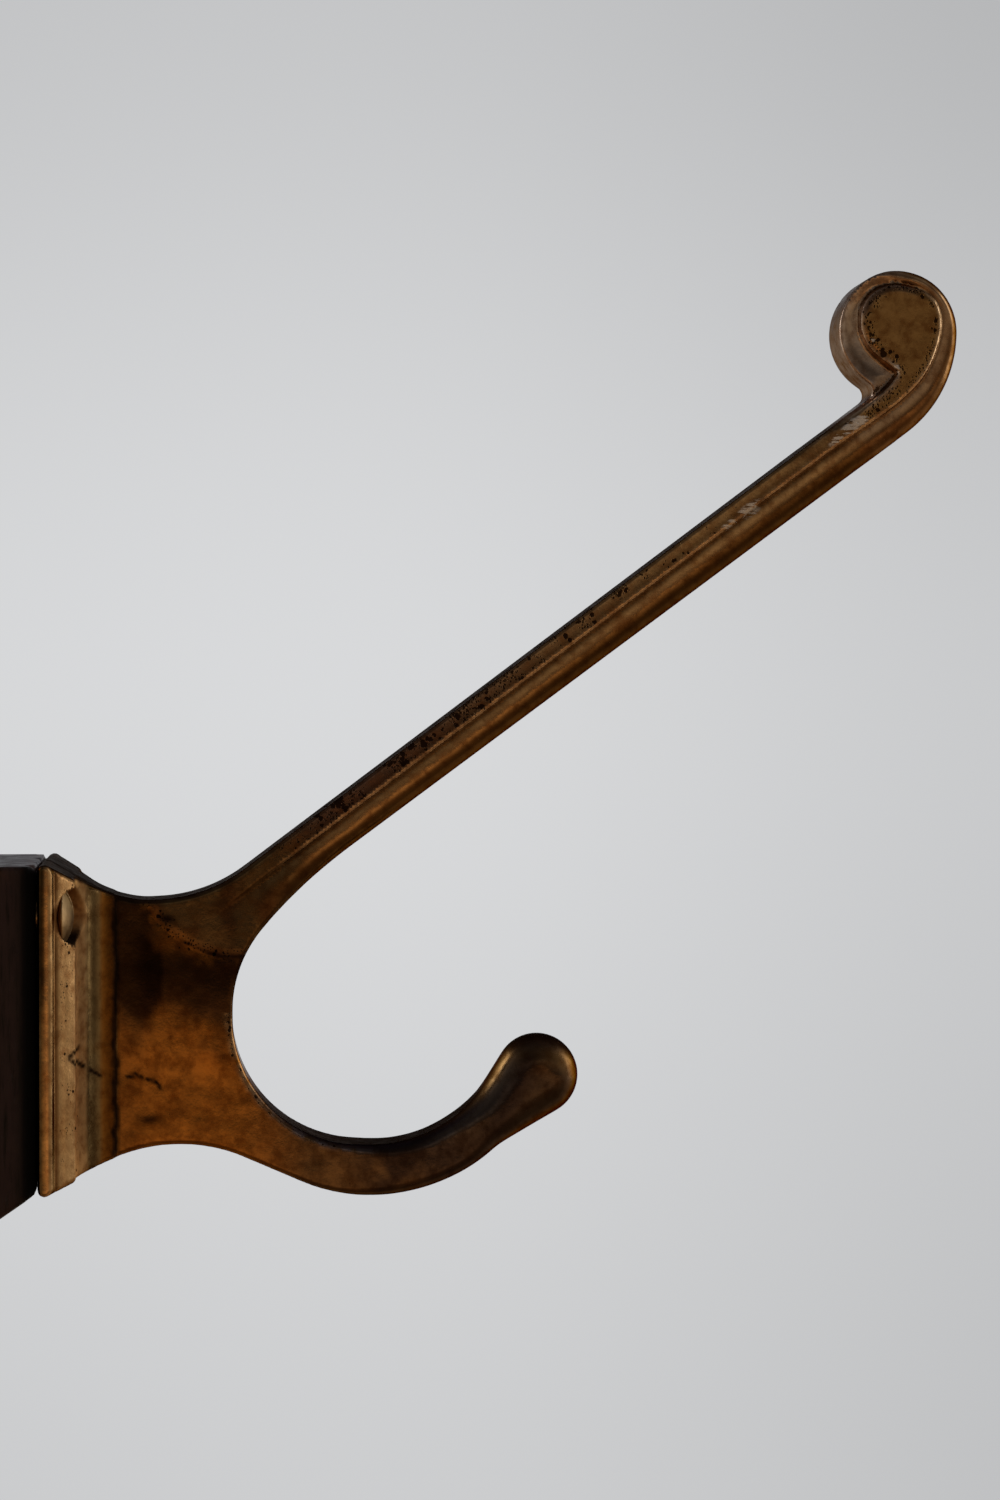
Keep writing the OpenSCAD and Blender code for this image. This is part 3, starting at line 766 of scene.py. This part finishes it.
def brass_material(name, with_tone, base=(0.3, 0.2, 0.1)):
    m = Tree(name)
    wear_and_shade = m.split(m.attr("wear_and_shade"))
    big = m.noise(170, 3, 0.55)
    mid = m.noise(650, 5, 0.6)
    fine = m.noise(2600, 4, 0.65)
    tone = m.attr("tone") if with_tone else None
    col = tone if with_tone else m.mix(m.range(mid, 0.35, 0.65), base, tuple(0.55 * c for c in base))
    # mottled tarnish
    col = m.mix(m.range(mid, 0.38, 0.72), col, m.mix(1.0, col, (0.62, 0.52, 0.45), "MULTIPLY"))
    col = m.mix(m.range(big, 0.55, 0.75, 0, 0.5), col, m.mix(1.0, col, (1.25, 1.12, 0.9), "MULTIPLY"))
    col = m.mix(m.range(fine, 0.60, 0.80, 0, 0.5), col, m.mix(1.0, col, (0.5, 0.42, 0.38), "MULTIPLY"))
    # pits: small dark dots where the pit mask allows
    if with_tone:
        v1 = m.voronoi(1500)
        v2 = m.voronoi(3300)
        lim1 = m.math("MULTIPLY", m.range(mid, 0.40, 0.58), m.math("MULTIPLY", wear_and_shade[0], 0.62))
        lim2 = m.math("MULTIPLY", m.range(mid, 0.62, 0.44), m.math("MULTIPLY", wear_and_shade[0], 0.50))
        p1 = m.range(m.math("SUBTRACT", lim1, v1), -0.02, 0.06)
        p2 = m.range(m.math("SUBTRACT", lim2, v2), -0.02, 0.08)
        pit = m.math("MAXIMUM", p1, p2)
        col = m.mix(m.math("MULTIPLY", pit, 0.9), col, (0.02, 0.011, 0.008))
        # pale scuffs drawn along the arm, and the painted glint at the disc's inner corner
        streak = m.noise(900, 5, 0.7, vec=m.stretch((0.35, 1.0, 2.2), (0, math.radians(arm_a), 0)))
        sc = m.math("MULTIPLY", m.range(streak, 0.44, 0.56), wear_and_shade[1], clamp=True)
        sc = m.range(sc, 0.12, 0.4)
        col = m.mix(sc, col, (0.98, 0.95, 0.92))
    else:
        col = m.mix(wear_and_shade[1], col, (0.55, 0.38, 0.20))          # the head's top is rubbed bright
        pit = m.range(fine, 0.62, 0.72)
        sc = wear_and_shade[1]
    # the third channel darkens towards black: the hook's creases with painted shade; for the screws the first channel,
    # slot grime
    col = m.mix(m.math("MULTIPLY", wear_and_shade[2] if with_tone else wear_and_shade[0], 0.85), col, (0.018, 0.010, 0.007))
    m.set(m.bsdf.inputs["Base Color"], col)
    m.bsdf.inputs["Metallic"].default_value = 1.0
    m.bsdf.inputs["Specular Tint"].default_value = (0.20, 0.16, 0.13, 1.0)
    rough = m.range(mid, 0.3, 0.75, 0.13, 0.30)
    rough = m.math("ADD", rough, m.math("MULTIPLY", pit, 0.35))
    rough = m.math("ADD", rough, m.math("MULTIPLY", wear_and_shade[2] if with_tone else wear_and_shade[0], 0.5))
    rough = m.math("ADD", rough, m.math("MULTIPLY", sc, 0.25), clamp=True)
    if with_tone:
        rough = m.math("ADD", rough, m.math("MULTIPLY", m.split(m.attr("dull"))[0], 0.42), clamp=True)
    m.set(m.bsdf.inputs["Roughness"], rough)
    nrm = m.bump(m.noise(95, 2, 0.45), 0.00045, 0.8)
    nrm = m.bump(m.noise(420, 3, 0.5), 0.00007, 0.6, nrm)
    nrm = m.bump(fine, 0.000018, 0.7, nrm)
    nrm = m.bump(m.math("MULTIPLY", pit, -1.0), 0.00012, 1.0, nrm)
    m.link(nrm, m.bsdf.inputs["Normal"])
    return m.mat


def wood_material(name):
    m = Tree(name)
    wear_and_shade = m.split(m.attr("wear_and_shade"))
    vec = m.stretch((1.0, 1.0, 0.09))
    wob = m.noise(60, 3, 0.5, vec=vec, distortion=0.6)
    grain = m.noise(1500, 5, 0.65, vec=vec)
    pores = m.noise(4200, 3, 0.7, vec=m.stretch((1.0, 1.0, 0.12)))
    scar = m.noise(500, 4, 0.6)
    col = m.mix(m.range(wob, 0.35, 0.65), (0.040, 0.0220, 0.0245), (0.062, 0.0350, 0.0400))
    col = m.mix(m.range(grain, 0.45, 0.7), col, (0.006, 0.004, 0.0035))
    col = m.mix(m.range(scar, 0.60, 0.72, 0, 0.4), col, (0.035, 0.030, 0.033))
    col = m.mix(m.math("MULTIPLY", wear_and_shade[0], m.range(scar, 0.35, 0.6), clamp=True), col, (0.13, 0.06, 0.04))
    # painted shade: the chamfers beside the flange go near black
    col = m.mix(wear_and_shade[2], col, (0.0005, 0.0004, 0.0004))
    m.set(m.bsdf.inputs["Base Color"], col)
    m.set(m.bsdf.inputs["Roughness"], m.math("MAXIMUM", m.range(scar, 0.3, 0.7, 0.38, 0.62), wear_and_shade[2]))
    m.bsdf.inputs["Specular IOR Level"].default_value = 0.28
    nrm = m.bump(grain, 0.00005, 0.7)
    nrm = m.bump(m.range(pores, 0.62, 0.72, 1.0, 0.0), 0.00006, 0.7, nrm)
    nrm = m.bump(m.noise(140, 3, 0.5), 0.0003, 0.4, nrm)
    m.link(nrm, m.bsdf.inputs["Normal"])
    return m.mat


brass = brass_material("hook_brass_look", True)
screw_mat = brass_material("screw_brass_look", False, (0.62, 0.40, 0.19))
wood = wood_material("block_wood_look")
hook.data.materials.append(brass)
block.data.materials.append(wood)
for s in screws:
    s.data.materials.append(screw_mat)

for ob, node, slot in ((hook, "hook_casting", "hook_brass"), (block, "backing_block", "block_wood"),
                       (screws[0], "screw_upper", "screw_brass"), (screws[1], "screw_lower", "screw_brass")):
    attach(ob, "root")
    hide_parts(node)

# ---------------------------------------------------------------- studio
# One pale sweep: floor, a wide curve, and a back wall.
FLOOR_Z, BACK_Y, BEND = -0.46, 1.35, 0.55
prof = [(-2.6, FLOOR_Z), (BACK_Y - BEND, FLOOR_Z)]
prof += [(BACK_Y - BEND + BEND * math.sin(a), FLOOR_Z + BEND - BEND * math.cos(a)) for a in np.radians(np.arange(5, 91, 5))]
prof += [(BACK_Y, 2.6)]
sw = bpy.data.meshes.new("sweep")
vs = [(sx, py, pz) for py, pz in prof for sx in (-2.8, 2.8)]
fs = [(2 * i, 2 * i + 1, 2 * i + 3, 2 * i + 2) for i in range(len(prof) - 1)]
sw.from_pydata(vs, [], fs)
for p in sw.polygons:
    p.use_smooth = True
sweep = bpy.data.objects.new("sweep", sw)
bpy.context.scene.collection.objects.link(sweep)
# the sweep is not lit: its colour is emission with a painted falloff, brightest at mid height and darker towards the
# right
sm = bpy.data.materials.new("sweep_painted_light")
sm.use_nodes = True
nt = sm.node_tree
nt.nodes.clear()
o = nt.nodes.new("ShaderNodeOutputMaterial")
em = nt.nodes.new("ShaderNodeEmission")
co = nt.nodes.new("ShaderNodeTexCoord")
sep = nt.nodes.new("ShaderNodeSeparateXYZ")
nt.links.new(co.outputs["Object"], sep.inputs[0])


def sramp(socket, lo, hi, stops):
    r = nt.nodes.new("ShaderNodeMapRange")
    r.inputs["From Min"].default_value = lo
    r.inputs["From Max"].default_value = hi
    nt.links.new(socket, r.inputs["Value"])
    c = nt.nodes.new("ShaderNodeValToRGB")
    c.color_ramp.interpolation = "B_SPLINE"
    el = c.color_ramp.elements
    el[0].position, el[0].color = stops[0][0], (*[stops[0][1] * t for t in stops[0][2]], 1)
    el[1].position, el[1].color = stops[-1][0], (*[stops[-1][1] * t for t in stops[-1][2]], 1)
    for pos, v, tint in stops[1:-1]:
        n = el.new(pos)
        n.color = (*[v * t for t in tint], 1)
    nt.links.new(r.outputs[0], c.inputs[0])
    return c.outputs[0]


COOL = (0.985, 0.995, 1.012)
fz = sramp(sep.outputs["Z"], -0.41, 0.42, [(0.0, 0.840, COOL), (0.2, 0.915, COOL), (0.42, 0.985, COOL), (0.6, 1.0, COOL), (0.8, 0.90, COOL), (1.0, 0.78, COOL)])
fx = sramp(sep.outputs["X"], -0.075, 0.478, [(0.0, 0.69, (1, 1, 1)), (0.3, 0.715, (1, 1, 1)), (0.6, 0.69, (1, 1, 1)), (1.0, 0.585, (1, 1, 1))])
sm2 = nt.nodes.new("ShaderNodeMix")
sm2.data_type = "RGBA"
sm2.blend_type = "MULTIPLY"
sm2.inputs[0].default_value = 1.0
nt.links.new(fz, sm2.inputs[6])
nt.links.new(fx, sm2.inputs[7])
nt.links.new(sm2.outputs[2], em.inputs["Color"])
em.inputs["Strength"].default_value = 1.0
nt.links.new(em.outputs[0], o.inputs[0])
sw.materials.append(sm)
sweep.visible_glossy = False       # the world below is what the metal reflects
sweep.visible_diffuse = False

# World: pale where it is looked at, bright behind the hook and dim in front, so the metal reads dark
world = bpy.data.worlds.new("studio")
bpy.context.scene.world = world
world.use_nodes = True
wt = world.node_tree
wt.nodes.clear()
wo = wt.nodes.new("ShaderNodeOutputWorld")
tc = wt.nodes.new("ShaderNodeTexCoord")
ws = wt.nodes.new("ShaderNodeSeparateXYZ")
wt.links.new(tc.outputs["Generated"], ws.inputs[0])


def wramp(socket, lo, hi, stops):
    r = wt.nodes.new("ShaderNodeMapRange")
    r.inputs["From Min"].default_value = lo
    r.inputs["From Max"].default_value = hi
    wt.links.new(socket, r.inputs["Value"])
    c = wt.nodes.new("ShaderNodeValToRGB")
    c.color_ramp.interpolation = "EASE"
    el = c.color_ramp.elements
    el[0].position, el[0].color = stops[0][0], (*stops[0][1], 1)
    el[1].position, el[1].color = stops[-1][0], (*stops[-1][1], 1)
    for pos, colr in stops[1:-1]:
        n = el.new(pos)
        n.color = (*colr, 1)
    wt.links.new(r.outputs[0], c.inputs[0])
    return c.outputs[0]


# rear half by azimuth, front half by height
rear = wramp(ws.outputs["Y"], -1, 1, [(0.0, (0.16, 0.13, 0.10)), (0.30, (0.30, 0.25, 0.19)), (0.47, (0.62, 0.56, 0.48)), (0.60, (0.70, 0.66, 0.60)), (0.8, (0.60, 0.60, 0.60)), (1.0, (0.66, 0.67, 0.69))])
low = wramp(ws.outputs["Z"], -1, 1, [(0.0, (0.28, 0.20, 0.13)), (0.30, (0.55, 0.42, 0.30)), (0.46, (0.95, 0.92, 0.88)), (0.60, (0.95, 0.95, 0.96)), (0.72, (0.45, 0.46, 0.50)), (1.0, (0.20, 0.21, 0.24))])
front = wramp(ws.outputs["Z"], -0.5, 0.5, [(0.0, (0.14, 0.075, 0.035)), (0.30, (0.40, 0.24, 0.12)), (0.385, (0.36, 0.22, 0.11)), (0.43, (0.075, 0.052, 0.040)), (0.50, (0.070, 0.055, 0.045)), (0.58, (0.18, 0.14, 0.10)), (0.72, (0.22, 0.185, 0.15)), (0.86, (0.10, 0.09, 0.085)), (1.0, (0.06, 0.055, 0.055))])
mul = wt.nodes.new("ShaderNodeMix")
mul.data_type = "RGBA"
mul.blend_type = "MULTIPLY"
mul.inputs[0].default_value = 1.0
wt.links.new(rear, mul.inputs[6])
wt.links.new(low, mul.inputs[7])
wf = wt.nodes.new("ShaderNodeMapRange")
wf.interpolation_type = "SMOOTHSTEP"
wf.inputs["From Min"].default_value = -0.45
wf.inputs["From Max"].default_value = -0.9
wt.links.new(ws.outputs["Y"], wf.inputs["Value"])
mul2 = wt.nodes.new("ShaderNodeMix")
mul2.data_type = "RGBA"
wt.links.new(wf.outputs[0], mul2.inputs[0])
wt.links.new(mul.outputs[2], mul2.inputs[6])
wt.links.new(front, mul2.inputs[7])
mul = mul2
bg1 = wt.nodes.new("ShaderNodeBackground")
wt.links.new(mul.outputs[2], bg1.inputs[0])
bg2 = wt.nodes.new("ShaderNodeBackground")
bg2.inputs[0].default_value = (0.60, 0.607, 0.617, 1)
lp = wt.nodes.new("ShaderNodeLightPath")
ms = wt.nodes.new("ShaderNodeMixShader")
wt.links.new(lp.outputs["Is Camera Ray"], ms.inputs[0])
wt.links.new(bg1.outputs[0], ms.inputs[1])
wt.links.new(bg2.outputs[0], ms.inputs[2])
wt.links.new(ms.outputs[0], wo.inputs[0])


def area(name, loc, target, size, power, color=(1, 1, 1)):
    li = bpy.data.lights.new(name, "AREA")
    li.shape = "RECTANGLE"
    li.size, li.size_y = size
    li.energy = power
    li.color = color
    ob = bpy.data.objects.new(name, li)
    ob.location = loc
    d = np.array(target) - np.array(loc)
    from mathutils import Vector
    ob.rotation_euler = Vector(d).to_track_quat("-Z", "Y").to_euler()
    bpy.context.scene.collection.objects.link(ob)
    ob.visible_camera = False
    return ob


area("soft_right", (0.95, 0.15, 0.25), (0.05, 0, 0.03), (0.5, 0.8), 1.2, (1.0, 0.95, 0.88))
area("soft_left", (-0.75, 0.35, 0.35), (0.10, 0, 0.07), (0.35, 0.5), 1.2, (1.0, 0.98, 0.95))

# ---------------------------------------------------------------- camera
cam = bpy.data.cameras.new("camera")
cam.lens = 75.0
cam.sensor_width = 36.0
cam.sensor_fit = "AUTO"
cam.clip_start = 0.01
cam_ob = bpy.data.objects.new("camera", cam)
cam_ob.location = (0.03687, -0.375, 0.03938)
cam_ob.rotation_euler = (math.radians(90 - 1.0949), 0, math.radians(-5.4836))
bpy.context.scene.collection.objects.link(cam_ob)
bpy.context.scene.camera = cam_ob
bpy.context.scene.view_settings.view_transform = "Standard"

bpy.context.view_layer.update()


print("casting", len(P), "verts", len(Q), "quads; block", len(Qb), "screw", len(Qs))
